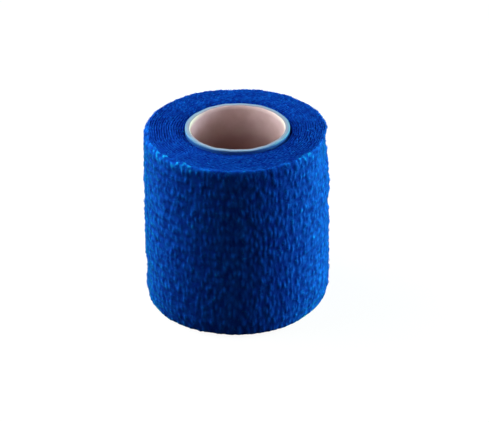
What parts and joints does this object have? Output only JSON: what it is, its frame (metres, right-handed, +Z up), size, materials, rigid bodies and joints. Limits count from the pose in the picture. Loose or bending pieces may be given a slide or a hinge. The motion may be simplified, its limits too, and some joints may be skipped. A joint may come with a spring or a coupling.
{
  "type": "cohesive bandage roll",
  "caption": "Crinkled stretch bandage wound on a paper tube into a short upright cylinder with an open bore.",
  "frame": {"origin": "middle of the flat face that the roll stands on", "axes": "+Z up along the roll's axis, -Y towards the front of the picture, +X to its right"},
  "size_m": [0.0504, 0.0503, 0.0507],
  "materials": {
    "bandage": "matte crinkled nonwoven",
    "tube_paper": "matte paper"
  },
  "bodies": {
    "root": {"bandage_roll": "bandage", "core": "tube_paper"}
  },
  "joints": []
}
